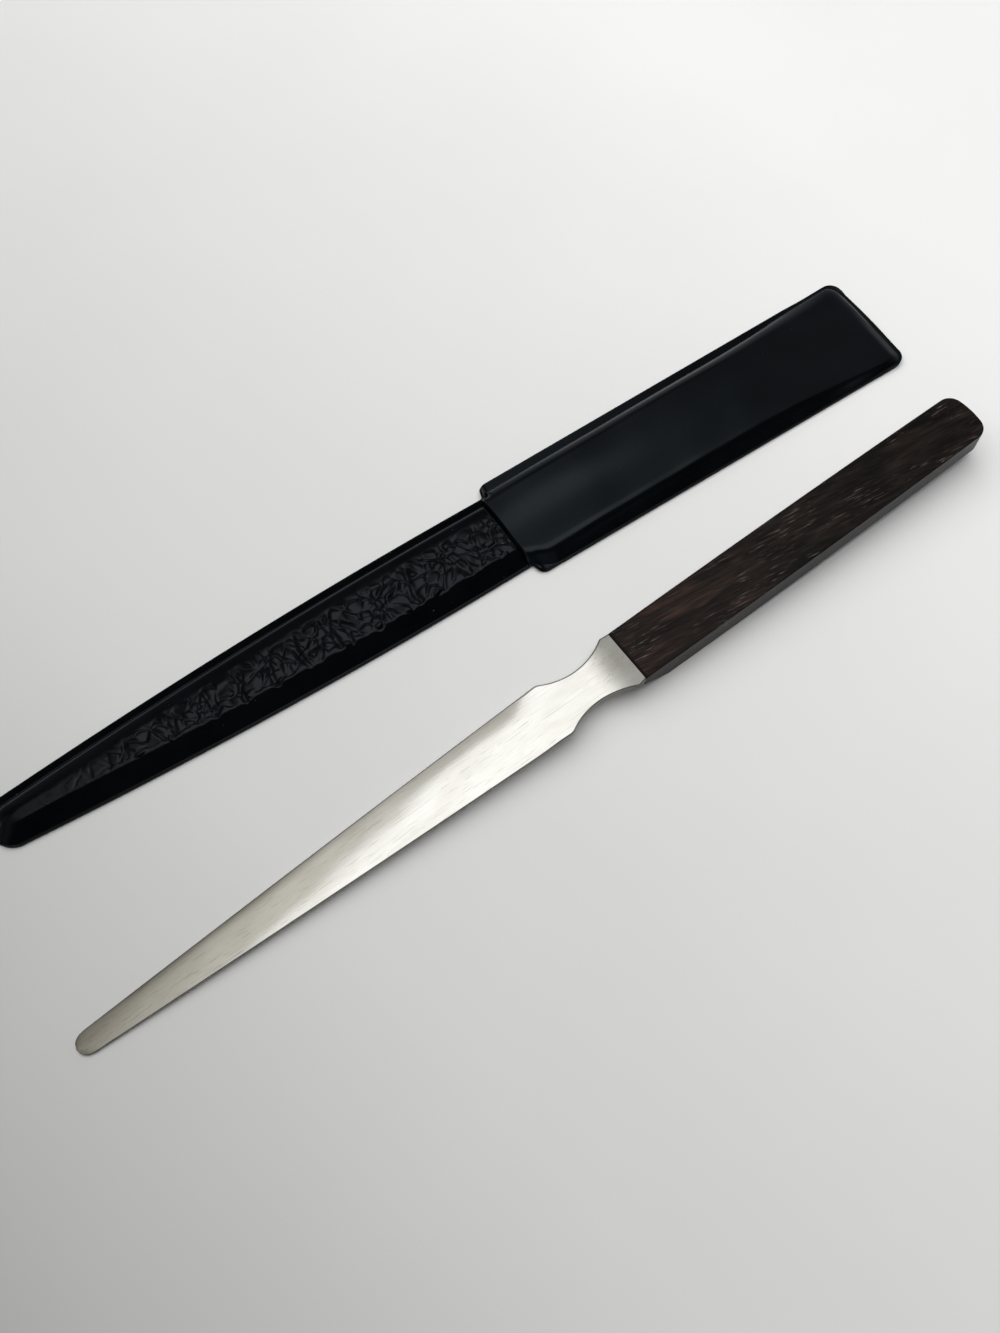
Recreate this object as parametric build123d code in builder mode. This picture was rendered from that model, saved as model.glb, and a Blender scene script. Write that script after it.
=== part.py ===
from build123d import *

import os
from math import atan2, cos, degrees, radians, sin, tan

os.makedirs("parts", exist_ok=True)

# Letter opener lying on the desk beside its own vinyl sheath, in millimetres.
# +X runs along the sheath from its closed tip to its mouth, +Z is up, and the origin is the
# middle of the sheath's flat back. The opener has a plane of its own, from its tip to its butt.

# Steel blade, measured from its tip along the opener
blade_length = 124.3
neck_length = 17.8
steel_thickness = 1.3
tip_width = 4.4
tip_round = 2.0
tip_thickness = 0.7
edge_thickness = 0.35
shoulder_width = 12.4
shoulder_edge_thickness = 1.1
side_bulge = 0.42
full_thickness_from_tip = 53.0
first_grind_station = 23.0
second_grind_station = 64.0
grind_runout = 9.0
neck_width = 8.05
neck_waist_from_wood = 10.4
collar_width = 12.6
collar_length = 1.9
ramp_length = 5.6
ramp_rise = 0.45
tang_length = 46.0
tang_width = 6.4
tang_end_round = 1.5
glue_line = 0.15

# Rosewood handle
handle_length = 93.0
handle_front_width = 12.0
handle_middle_width = 12.2
handle_butt_width = 11.4
handle_thickness = 6.4
handle_butt_thickness = 5.4
handle_nose_thickness = 2.85
nose_length = 6.5
butt_bulge = 0.9
butt_corner_round = 3.2
wood_edge_round = 0.3

# Where the opener lies on the desk: its tip, and its turn from the sheath's line
opener_tip_x = -112.3
opener_tip_y = -44.9
opener_turn = 2.8

# Sheath outline
blade_pocket_length = 116.0
handle_pocket_length = 100.0
sheath_tip_width = 10.0
sheath_middle_width = 17.4
sheath_junction_width = 19.0
sheath_shoulder_width = 24.6
sheath_mouth_width = 26.2
tip_corner_round = 4.0
mouth_corner_round = 2.8
shoulder_round = 1.5
shoulder_start = 1.9
shoulder_run = 1.2

# Sheath layers and pocket
weld_width = 1.8
back_cover_thickness = 0.4
back_board_thickness = 0.35
lining_thickness = 0.15
blade_cover_thickness = 0.5
handle_board_thickness = 0.5
handle_cover_thickness = 0.4
blade_clearance = 0.15
handle_pocket_height = 4.3
wall_lean = 15.0
board_margin = 0.5
board_end_margin = 2.6
clip_start = 3.0
clip_run = 5.2
lap_length = 2.6
lap_gap = 0.3
board_clearance = 0.05
seam_clearance = 0.1
vinyl_edge_round = 0.45

# Levels and stations that follow from the sizes above
handle_top = steel_thickness / 2 + ramp_rise
heel_depth = handle_thickness - handle_top
heel_station = blade_length + nose_length
butt_station = blade_length + handle_length
shoulder_station = blade_length - neck_length
opener_tilt = degrees(atan2(heel_depth - tip_thickness / 2, heel_station))
tip_height = tip_thickness / 2 * cos(radians(opener_tilt))

sheath_length = blade_pocket_length + handle_pocket_length
tip_x = -sheath_length / 2
lap_x = tip_x + blade_pocket_length
middle_x = (tip_x + lap_x) / 2
flare_x = lap_x + shoulder_start + shoulder_run
mouth_x = sheath_length / 2

lining_level = back_cover_thickness
rim_level = lining_level + lining_thickness
pocket_floor = rim_level + back_board_thickness
blade_roof = pocket_floor + steel_thickness + 2 * blade_clearance
blade_cover_top = blade_roof + blade_cover_thickness
handle_roof = pocket_floor + handle_pocket_height
board_level = handle_roof + lining_thickness
board_top = board_level + handle_board_thickness
sheath_top = board_top + handle_cover_thickness
lean = tan(radians(wall_lean))
leaning_cover = handle_cover_thickness / cos(radians(wall_lean))
leaning_blade_cover = blade_cover_thickness / cos(radians(wall_lean))
leaning_lining = lining_thickness / cos(radians(wall_lean))

# Corners of an outline are picked by their place, within this much
pick_play = 0.01

# The opener's own planes: flat along the blade, on edge, and square across at a station
turn, tilt = radians(opener_turn), radians(opener_tilt)
opener_plane = Plane(
    origin=(opener_tip_x, opener_tip_y, tip_height),
    x_dir=(cos(tilt) * cos(turn), cos(tilt) * sin(turn), sin(tilt)),
    z_dir=(-sin(tilt) * cos(turn), -sin(tilt) * sin(turn), cos(tilt)),
)
opener_side = Plane(opener_plane.origin, x_dir=opener_plane.x_dir, z_dir=-opener_plane.y_dir)
opener_along = Axis(opener_plane.origin, opener_plane.x_dir)
opener_up = Axis(opener_plane.origin, opener_plane.z_dir)


def across_opener(station):
    origin = opener_plane.from_local_coords(Vector(station, 0, 0))
    return Plane(origin, x_dir=opener_plane.y_dir, z_dir=opener_plane.x_dir)


def ground_section(station, edge):
    # lens across the blade: a crowned top and bottom between two thin edges
    share = station / shoulder_station
    bow = 4 * side_bulge * share * (1 - share)
    half = (tip_width + (shoulder_width - tip_width) * share + bow) / 2
    fullness = min(1.0, station / full_thickness_from_tip)
    crown = (tip_thickness + (steel_thickness - tip_thickness) * fullness) / 2
    with BuildSketch(across_opener(station)) as section:
        with BuildLine():
            ThreePointArc((-half, edge / 2), (0, crown), (half, edge / 2))
            Line((half, edge / 2), (half, -edge / 2))
            ThreePointArc((half, -edge / 2), (0, -crown), (-half, -edge / 2))
            Line((-half, -edge / 2), (-half, edge / 2))
        make_face()
    return section.sketch


runout_station = shoulder_station - grind_runout
ground_stations = (0, first_grind_station, second_grind_station, runout_station)
ground_sections = [ground_section(station, edge_thickness) for station in ground_stations]
shoulder_section = ground_section(shoulder_station, shoulder_edge_thickness)

# Waisted neck, flaring to the collar and ramping up to the wood's top face
with BuildPart() as neck:
    with BuildSketch(opener_plane):
        with BuildLine():
            Line((shoulder_station, 0), (shoulder_station, shoulder_width / 2))
            ThreePointArc(
                (shoulder_station, shoulder_width / 2),
                (blade_length - neck_waist_from_wood, neck_width / 2),
                (blade_length - collar_length, collar_width / 2),
            )
            Line((blade_length - collar_length, collar_width / 2), (blade_length, handle_front_width / 2))
            Line((blade_length, handle_front_width / 2), (blade_length, 0))
            mirror(about=Plane.XZ)
        make_face()
    extrude(amount=handle_top, both=True)
    with BuildSketch(opener_side):
        ramp_start = blade_length - ramp_length
        with BuildLine():
            Line((ramp_start, steel_thickness / 2), (shoulder_station, steel_thickness / 2))
            Line((shoulder_station, steel_thickness / 2), (shoulder_station, -steel_thickness / 2))
            Line((shoulder_station, -steel_thickness / 2), (blade_length, -steel_thickness / 2))
            Line((blade_length, -steel_thickness / 2), (blade_length, handle_top))
            Bezier(
                (blade_length, handle_top),
                (blade_length - ramp_length / 2, handle_top),
                (blade_length - ramp_length / 2, steel_thickness / 2),
                (ramp_start, steel_thickness / 2),
            )
        make_face()
    extrude(amount=collar_width, both=True, mode=Mode.INTERSECT)


# Tang and the mortise it is glued into share one outline
def tang_outline(play):
    length = tang_length + play
    width = tang_width + 2 * play
    with BuildSketch(mode=Mode.PRIVATE) as outline:
        with Locations((blade_length + length / 2, 0)):
            Rectangle(length, width)
        fillet(outline.vertices().group_by(Axis.X)[-1], radius=tang_end_round + play)
    return outline.sketch


tang_shape = tang_outline(0)
mortise_shape = tang_outline(glue_line)

with BuildPart() as blade:
    loft(sections=ground_sections)
    loft(sections=[ground_sections[-1], shoulder_section], ruled=True)
    with BuildSketch(opener_plane):
        with BuildLine():
            ThreePointArc((tip_round, -tip_width / 2), (0, 0), (tip_round, tip_width / 2))
            Polyline(
                (tip_round, tip_width / 2),
                (2 * tip_round, shoulder_width),
                (shoulder_station, shoulder_width),
                (shoulder_station, -shoulder_width),
                (2 * tip_round, -shoulder_width),
                (tip_round, -tip_width / 2),
            )
        make_face()
    extrude(amount=steel_thickness, both=True, mode=Mode.INTERSECT)
    add(neck.part)
    with BuildSketch(opener_plane):
        add(tang_shape)
    extrude(amount=steel_thickness / 2, both=True)
blade.part.label = "blade"

with BuildPart() as handle:
    with BuildSketch(opener_plane) as handle_plan:
        middle_station = blade_length + handle_length / 2
        with BuildLine():
            Line((blade_length, 0), (blade_length, handle_front_width / 2))
            ThreePointArc(
                (blade_length, handle_front_width / 2),
                (middle_station, handle_middle_width / 2),
                (butt_station - butt_bulge, handle_butt_width / 2),
            )
            ThreePointArc(
                (butt_station - butt_bulge, handle_butt_width / 2),
                (butt_station, 0),
                (butt_station - butt_bulge, -handle_butt_width / 2),
            )
            ThreePointArc(
                (butt_station - butt_bulge, -handle_butt_width / 2),
                (middle_station, -handle_middle_width / 2),
                (blade_length, -handle_front_width / 2),
            )
            Line((blade_length, -handle_front_width / 2), (blade_length, 0))
        make_face()
        fillet(handle_plan.vertices().group_by(Axis.X)[-1], radius=butt_corner_round)
    extrude(amount=handle_thickness, both=True)
    with BuildSketch(opener_side):
        with BuildLine():
            Polyline(
                (blade_length, handle_top),
                (butt_station, handle_top),
                (butt_station, handle_top - handle_butt_thickness),
                (heel_station, -heel_depth),
                (blade_length, handle_top - handle_nose_thickness),
                close=True,
            )
        make_face()
    extrude(amount=handle_middle_width, both=True, mode=Mode.INTERSECT)
    top_edges = handle.faces().sort_by(opener_up)[-1].edges().sort_by(opener_along)[1:]
    fillet(top_edges, radius=wood_edge_round)
    with BuildSketch(opener_plane):
        add(mortise_shape)
    extrude(amount=steel_thickness / 2 + glue_line, both=True, mode=Mode.SUBTRACT)
handle.part.label = "handle"

with BuildPart() as tang_adhesive:
    with BuildSketch(opener_plane):
        add(mortise_shape)
    extrude(amount=steel_thickness / 2 + glue_line, both=True)
    with BuildSketch(opener_plane):
        add(tang_shape)
    extrude(amount=steel_thickness / 2, both=True, mode=Mode.SUBTRACT)
tang_adhesive.part.label = "tang_adhesive"


def corners_at(outline, x):
    return outline.vertices().filter_by_position(Axis.X, x - pick_play, x + pick_play)


# Sheath outline: a tapering blade part with gently bowed sides, and the wider handle part
def sheath_outline():
    with BuildSketch(mode=Mode.PRIVATE) as outline:
        with BuildLine():
            Polyline(
                (mouth_x, 0),
                (mouth_x, sheath_mouth_width / 2),
                (flare_x, sheath_shoulder_width / 2),
                (lap_x + shoulder_start, sheath_junction_width / 2),
                (lap_x, sheath_junction_width / 2),
            )
            ThreePointArc(
                (lap_x, sheath_junction_width / 2),
                (middle_x, sheath_middle_width / 2),
                (tip_x, sheath_tip_width / 2),
            )
            Line((tip_x, sheath_tip_width / 2), (tip_x, 0))
            mirror(about=Plane.XZ)
        make_face()
        fillet(corners_at(outline, mouth_x), radius=mouth_corner_round)
        fillet(corners_at(outline, flare_x), radius=shoulder_round)
        for side in (0, -1):
            fillet(corners_at(outline, tip_x).sort_by(Axis.Y)[side], radius=tip_corner_round)
    return outline.sketch


# The blade pocket's arch runs on under the handle part, so its outline passes the lap
def blade_arch(inset):
    with BuildSketch(mode=Mode.PRIVATE) as outline:
        with BuildLine():
            Polyline(
                (lap_x + clip_start + clip_run + inset, 0),
                (lap_x + clip_start + clip_run + inset, sheath_junction_width / 2),
                (lap_x, sheath_junction_width / 2),
            )
            ThreePointArc(
                (lap_x, sheath_junction_width / 2),
                (middle_x, sheath_middle_width / 2),
                (tip_x, sheath_tip_width / 2),
            )
            Line((tip_x, sheath_tip_width / 2), (tip_x, 0))
            mirror(about=Plane.XZ)
        make_face()
        for side in (0, -1):
            fillet(corners_at(outline, tip_x).sort_by(Axis.Y)[side], radius=tip_corner_round)
        offset(amount=-inset, kind=Kind.INTERSECTION)
    return outline.sketch


# Half-width of the handle part at x, on the line from its shoulder to its mouth
def handle_part_half(x):
    share = (x - flare_x) / (mouth_x - flare_x)
    return (sheath_shoulder_width + (sheath_mouth_width - sheath_shoulder_width) * share) / 2


# The handle pocket's arch has clipped corners at the lap and runs to end_x
def handle_arch(inset, start_x, end_x):
    clip_x = start_x + clip_run
    with BuildSketch(mode=Mode.PRIVATE) as outline:
        with BuildLine():
            Polyline(
                (end_x, 0),
                (end_x, handle_part_half(end_x) - inset),
                (clip_x, handle_part_half(clip_x) - inset),
                (start_x, sheath_junction_width / 2 - inset),
                (start_x, 0),
            )
            mirror(about=Plane.XZ)
        make_face()
    return outline.sketch


whole_shape = sheath_outline()
past_mouth = mouth_x + sheath_mouth_width
arch_start = lap_x + clip_start

# Walls lean in from the rim: each layer of the arches stands inside the one over it
cover_foot = weld_width - lean * (handle_cover_thickness + lining_thickness)
lining_foot = cover_foot + leaning_cover
pocket_foot = lining_foot + leaning_lining
blade_foot = weld_width - lean * blade_cover_thickness
blade_pocket_foot = blade_foot + leaning_blade_cover
lap_foot = blade_foot - leaning_cover

cover_arch = handle_arch(cover_foot, arch_start, past_mouth)
lining_arch = handle_arch(lining_foot, arch_start + leaning_cover, past_mouth)
pocket_arch = handle_arch(pocket_foot, arch_start + leaning_cover + leaning_lining, past_mouth)
lap_arch = blade_arch(lap_foot)
blade_outer_arch = blade_arch(blade_foot)
blade_pocket_arch = blade_arch(blade_pocket_foot)


# The back board and the lining over it fill the floor of the pocket, clear of its leaning walls
def pocket_floor_plan(play):
    with BuildSketch(mode=Mode.PRIVATE) as plan:
        add(blade_arch(blade_pocket_foot + play))
        add(handle_arch(pocket_foot + play, arch_start + clip_run * play, mouth_x - board_end_margin))
    return plan.sketch


floor_play = lean * back_board_thickness + seam_clearance
back_rise_shape = pocket_floor_plan(floor_play)
board_shape = pocket_floor_plan(floor_play + lining_thickness)

board_foot = cover_foot + lean * (board_level - rim_level)
board_start = arch_start + lean * (board_level - rim_level)
board_end = mouth_x - board_end_margin
board_arch = handle_arch(board_foot + board_margin, board_start + board_margin, board_end)
board_room = handle_arch(
    board_foot + board_margin - board_clearance,
    board_start + board_margin - board_clearance,
    board_end + board_clearance,
)
board_hood = handle_arch(board_foot, board_start, board_end + board_margin)

with BuildPart() as sheath_back_cover:
    with BuildSketch():
        add(whole_shape)
    extrude(amount=back_cover_thickness)
sheath_back_cover.part.label = "sheath_back_cover"

with BuildPart() as sheath_back_board:
    with BuildSketch(Plane.XY.offset(lining_level)):
        add(board_shape)
    extrude(amount=back_board_thickness)
sheath_back_board.part.label = "sheath_back_board"

with BuildPart() as sheath_back_lining:
    with BuildSketch(Plane.XY.offset(lining_level)):
        add(whole_shape)
    extrude(amount=lining_thickness)
    with BuildSketch(Plane.XY.offset(lining_level)):
        add(back_rise_shape)
    extrude(amount=back_board_thickness + lining_thickness)
    with BuildSketch(Plane.XY.offset(lining_level)):
        add(board_shape)
    extrude(amount=back_board_thickness, mode=Mode.SUBTRACT)
sheath_back_lining.part.label = "sheath_back_lining"

with BuildPart() as sheath_blade_cover:
    with BuildSketch(Plane.XY.offset(rim_level)):
        add(whole_shape)
    extrude(amount=blade_cover_thickness)
    split(bisect_by=Plane((lap_x - lap_gap, 0, 0), z_dir=(1, 0, 0)), keep=Keep.BOTTOM)
    with BuildSketch(Plane.XY.offset(rim_level)):
        add(blade_outer_arch)
    extrude(amount=blade_cover_top - rim_level, taper=wall_lean)
    with BuildSketch(Plane.XY.offset(rim_level)):
        add(blade_pocket_arch)
    extrude(amount=blade_roof - rim_level, taper=wall_lean, mode=Mode.SUBTRACT)
    split(bisect_by=Plane((lap_x + lap_length, 0, 0), z_dir=(1, 0, 0)), keep=Keep.BOTTOM)
    crown_edges = sheath_blade_cover.faces().sort_by(Axis.Z)[-1].edges().sort_by(Axis.X)[:-1]
    fillet(crown_edges, radius=vinyl_edge_round)
sheath_blade_cover.part.label = "sheath_blade_cover"

with BuildPart() as sheath_handle_lining:
    with BuildSketch(Plane.XY.offset(rim_level)):
        add(whole_shape)
    extrude(amount=lining_thickness)
    with BuildSketch(Plane.XY.offset(rim_level)):
        add(lining_arch)
    extrude(amount=board_level - rim_level, taper=wall_lean)
    with BuildSketch(Plane.XY.offset(rim_level)):
        add(pocket_arch)
    extrude(amount=handle_roof - rim_level, taper=wall_lean, mode=Mode.SUBTRACT)
    with BuildSketch(Plane.XY.offset(rim_level)):
        add(blade_outer_arch)
    extrude(amount=blade_cover_top - rim_level, taper=wall_lean, mode=Mode.SUBTRACT)
    split(bisect_by=Plane((lap_x, 0, 0), z_dir=(1, 0, 0)), keep=Keep.TOP)
    with BuildSketch():
        add(whole_shape)
    extrude(amount=sheath_top, mode=Mode.INTERSECT)
sheath_handle_lining.part.label = "sheath_handle_lining"

with BuildPart() as sheath_handle_board:
    with BuildSketch(Plane.XY.offset(board_level)):
        add(board_arch)
    extrude(amount=handle_board_thickness)
sheath_handle_board.part.label = "sheath_handle_board"

with BuildPart() as sheath_handle_cover:
    with BuildSketch(Plane.XY.offset(rim_level + lining_thickness)):
        add(whole_shape)
    extrude(amount=handle_cover_thickness)
    with BuildSketch(Plane.XY.offset(rim_level)):
        add(lap_arch)
    extrude(amount=blade_cover_top + handle_cover_thickness - rim_level, taper=wall_lean)
    with BuildSketch(Plane.XY.offset(rim_level)):
        add(cover_arch)
    extrude(amount=board_level + handle_cover_thickness - rim_level, taper=wall_lean)
    with BuildSketch(Plane.XY.offset(board_level)):
        add(board_hood)
    extrude(amount=sheath_top - board_level, taper=wall_lean)
    with BuildSketch(Plane.XY.offset(rim_level)):
        add(blade_outer_arch)
    extrude(amount=blade_cover_top - rim_level, taper=wall_lean, mode=Mode.SUBTRACT)
    with BuildSketch(Plane.XY.offset(rim_level)):
        add(lining_arch)
    extrude(amount=board_level - rim_level, taper=wall_lean, mode=Mode.SUBTRACT)
    with BuildSketch(Plane.XY.offset(board_level)):
        add(board_room)
    extrude(amount=handle_board_thickness, mode=Mode.SUBTRACT)
    split(bisect_by=Plane((lap_x, 0, 0), z_dir=(1, 0, 0)), keep=Keep.TOP)
    with BuildSketch(Plane.XY.offset(rim_level + lining_thickness)):
        add(whole_shape)
    extrude(amount=sheath_top, mode=Mode.INTERSECT)
    fillet(sheath_handle_cover.faces().sort_by(Axis.Z)[-1].edges(), radius=vinyl_edge_round)
sheath_handle_cover.part.label = "sheath_handle_cover"

for piece in (
    blade,
    handle,
    tang_adhesive,
    sheath_back_cover,
    sheath_back_board,
    sheath_back_lining,
    sheath_blade_cover,
    sheath_handle_lining,
    sheath_handle_board,
    sheath_handle_cover,
):
    export_step(piece.part, f"parts/{piece.part.label}.step")
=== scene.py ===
import math

import bpy
import numpy as np
from mathutils import Matrix, Vector


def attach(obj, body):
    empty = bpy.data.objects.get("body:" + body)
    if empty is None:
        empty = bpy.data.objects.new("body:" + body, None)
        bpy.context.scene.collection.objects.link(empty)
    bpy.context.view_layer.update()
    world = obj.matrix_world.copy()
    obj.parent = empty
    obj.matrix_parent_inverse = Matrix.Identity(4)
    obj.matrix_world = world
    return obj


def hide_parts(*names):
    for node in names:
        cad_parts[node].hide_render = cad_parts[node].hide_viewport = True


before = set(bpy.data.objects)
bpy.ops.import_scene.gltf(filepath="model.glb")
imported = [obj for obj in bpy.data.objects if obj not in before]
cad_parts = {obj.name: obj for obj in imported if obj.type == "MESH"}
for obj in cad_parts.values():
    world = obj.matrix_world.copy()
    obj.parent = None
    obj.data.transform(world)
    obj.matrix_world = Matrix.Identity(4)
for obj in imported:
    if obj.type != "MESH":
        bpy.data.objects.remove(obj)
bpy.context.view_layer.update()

toMetres = 0.001  # every size below is in millimetres


def hexLinear(code):
    parts = [int(code[i:i + 2], 16) / 255 for i in (1, 3, 5)]
    return [p / 12.92 if p <= 0.04045 else ((p + 0.055) / 1.055) ** 2.4 for p in parts] + [1.0]


def addNode(tree, kind, inputs=None, stops=None, **settings):
    node = tree.nodes.new("ShaderNode" + kind)
    for key, value in settings.items():
        setattr(node, key, value)
    for key, value in (inputs or {}).items():
        if isinstance(value, bpy.types.NodeSocket):
            tree.links.new(value, node.inputs[key])
        else:
            node.inputs[key].default_value = value
    for i, (place, shade) in enumerate(stops or []):
        ramp = node.color_ramp.elements
        stop = ramp[i] if i < 2 else ramp.new(place)
        stop.position = place
        stop.color = hexLinear(shade) if isinstance(shade, str) else (shade, shade, shade, 1)
    return node


def startMaterial(name, **constants):
    material = bpy.data.materials.new(name)
    material.use_nodes = True
    shader = material.node_tree.nodes["Principled BSDF"]
    for key, value in constants.items():
        shader.inputs[key.replace("_", " ")].default_value = value
    return material, material.node_tree


def finishMaterial(material, **sources):
    shader = material.node_tree.nodes["Principled BSDF"]
    for key, source in sources.items():
        material.node_tree.links.new(source, shader.inputs[key.replace("_", " ")])
    return material


def patternMap(tree, source, stretch):
    # millimetres along each axis, divided by the size of the pattern there
    sizes = [1 / (size * toMetres) for size in stretch]
    return addNode(tree, "Mapping", {"Vector": source, "Scale": sizes}).outputs["Vector"]


def ease(low, high, value):
    share = np.clip((value - low) / (high - low), 0, 1)
    return share * share * (3 - 2 * share)


def softMin(a, b, reach):
    blend = np.maximum(reach - np.abs(a - b), 0) / reach
    return np.minimum(a, b) - blend * blend * reach / 4


def quads(rows, columns, wrap=False):
    across = columns if wrap else columns - 1
    r, c = np.meshgrid(np.arange(rows - 1), np.arange(across), indexing="ij")
    a = r * columns + c
    b = r * columns + (c + 1) % columns
    return np.stack([a, a + columns, b + columns, b], -1).reshape(-1, 4).tolist()


def makePiece(name, points, faces, material, body):
    mesh = bpy.data.meshes.new(name)
    mesh.from_pydata((np.asarray(points).reshape(-1, 3) * toMetres).tolist(), [], faces)
    mesh.polygons.foreach_set("use_smooth", [True] * len(mesh.polygons))
    mesh.materials.append(material)
    piece = bpy.data.objects.new(name, mesh)
    bpy.context.scene.collection.objects.link(piece)
    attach(piece, body)
    return piece


def thicken(piece, thickness, cutEdge=None):
    shell = piece.modifiers.new("sheetThickness", "SOLIDIFY")
    if cutEdge:
        piece.data.materials.append(cutEdge)
        shell.material_offset_rim = 1
    shell.thickness = thickness * toMetres
    shell.offset = -1
    shell.use_quality_normals = True


# Camera: above and in front, where the photograph was taken from
view = {
    "place": (-67.6, -112.7, 238.07),
    "forward": (0.2262, 0.3380, -0.9135),
    "focalShare": 1300 / 1333,  # focal length as a share of the frame's long side
    "sensor": 36.0,
}


def placeCamera():
    data = bpy.data.cameras.new("camera")
    data.sensor_width = view["sensor"]
    data.lens = view["focalShare"] * view["sensor"]
    data.clip_start = 0.01
    camera = bpy.data.objects.new("camera", data)
    bpy.context.scene.collection.objects.link(camera)
    forward = Vector(view["forward"]).normalized()
    right = forward.cross(Vector((0, 0, 1))).normalized()
    up = right.cross(forward)
    turned = Matrix((right, up, -forward)).transposed().to_4x4()
    camera.matrix_world = Matrix.Translation(Vector(view["place"]) * toMetres) @ turned
    bpy.context.scene.camera = camera


placeCamera()
print("camera placed")

# The opener's own line: from its tip, turned from the sheath's line and tilted up to the heel it rests on
opener = {
    "tip": (-112.3, -44.9),
    "turn": 2.8,
    "heelStation": 130.8,
    "heelDepth": 5.3,
    "tipThickness": 0.7,
}


def openerAxes():
    turn = math.radians(opener["turn"])
    tipHalf = opener["tipThickness"] / 2
    tilt = math.atan2(opener["heelDepth"] - tipHalf, opener["heelStation"])
    origin = np.array((*opener["tip"], tipHalf * math.cos(tilt)))
    along = np.array((math.cos(tilt) * math.cos(turn), math.cos(tilt) * math.sin(turn), math.sin(tilt)))
    across = np.array((-math.sin(turn), math.cos(turn), 0))
    return origin, along, across, np.cross(along, across)


def openerMap(tree, *stretch, aslant=0):
    coords = addNode(tree, "TexCoord")
    origin = openerAxes()[0] * toMetres
    turned = addNode(
        tree,
        "Mapping",
        {
            "Vector": coords.outputs["Object"],
            "Location": origin.tolist(),
            "Rotation": (0, 0, math.radians(opener["turn"] + aslant)),
        },
        vector_type="TEXTURE",
    )
    return patternMap(tree, turned.outputs["Vector"], stretch)


# Stainless steel, satin ground along its length: a soft mirror with fine lines, with painted shade along
# its cut edge
def satinGroundStainless():
    material, tree = startMaterial("satinGroundStainless", Metallic=1.0)
    # grit lines are nearer 0.05 mm apart, drawn coarser so that they show
    lines = addNode(tree, "TexNoise", {"Vector": openerMap(tree, 30, 0.22, 0.22), "Scale": 1, "Detail": 3})
    bands = addNode(tree, "TexNoise", {"Vector": openerMap(tree, 34, 1.3, 1.3), "Scale": 1, "Detail": 2})
    cloud = addNode(tree, "TexNoise", {"Vector": openerMap(tree, 9, 3, 3), "Scale": 1, "Detail": 4})
    scuffs = addNode(tree, "TexNoise", {"Vector": openerMap(tree, 45, 0.18, 0.18), "Scale": 1, "Detail": 2})
    tone = addNode(tree, "ValToRGB", {"Fac": cloud.outputs["Fac"]}, [(0.3, "#d6d4cd"), (0.7, "#e4e3de")])
    scuffed = addNode(
        tree, "ValToRGB", {"Fac": scuffs.outputs["Fac"]}, [(0.3, "#e2e1dd"), (0.4, "#ffffff")]
    )
    place = addNode(tree, "SeparateXYZ", {"Vector": openerMap(tree, 1, 1, 1)})
    # the grind stops short of the wood, so the ramp is rougher, and its colour is darkened towards the wood
    # as painted shade
    start, end = blade["grindEnds"]
    matt = addNode(tree, "MapRange", {"Value": place.outputs["X"], "From Min": start, "From Max": end})
    paintedRampShade = addNode(tree, "MapRange", {"Value": matt.outputs["Result"], "To Min": 1.0, "To Max": 0.64})
    # painted shade: the colour darkens towards the cut edges and the tip, drawing the dark line they show
    edge = addNode(
        tree,
        "MapRange",
        {
            "Value": addNode(tree, "Attribute", attribute_name="edgeGap").outputs["Fac"],
            "From Min": 0.03,
            "From Max": 0.22,
            "To Min": 0.3,
            "To Max": 1.0,
        },
    )
    finished = tone.outputs["Color"]
    for shade in (scuffed.outputs["Color"], paintedRampShade.outputs["Result"], edge.outputs["Result"]):
        finished = addNode(
            tree, "Mix", {0: 1.0, 6: finished, 7: shade}, data_type="RGBA", blend_type="MULTIPLY"
        ).outputs[2]
    rough = addNode(tree, "MapRange", {"Value": lines.outputs["Fac"], "To Min": 0.07, "To Max": 0.14})
    rough = rough.outputs["Result"]
    for source, share in ((bands.outputs["Fac"], 0.06), (matt.outputs["Result"], 0.22)):
        rough = addNode(
            tree, "Math", {0: source, 1: share, 2: rough}, operation="MULTIPLY_ADD"
        ).outputs["Value"]
    height = addNode(
        tree,
        "Math",
        {0: bands.outputs["Fac"], 1: 0.7, 2: lines.outputs["Fac"]},
        operation="MULTIPLY_ADD",
    )
    bump = addNode(
        tree, "Bump", {"Height": height.outputs["Value"], "Strength": 0.25, "Distance": 0.015 * toMetres}
    )
    return finishMaterial(material, Base_Color=finished, Roughness=rough, Normal=bump.outputs["Normal"])


# Bar of wood, along the opener: where its red fades to black, and the line of glue at the steel
handle = {
    "reddish": (130, 162),
    "glueLine": (124.6, 124.9),
}


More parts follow.
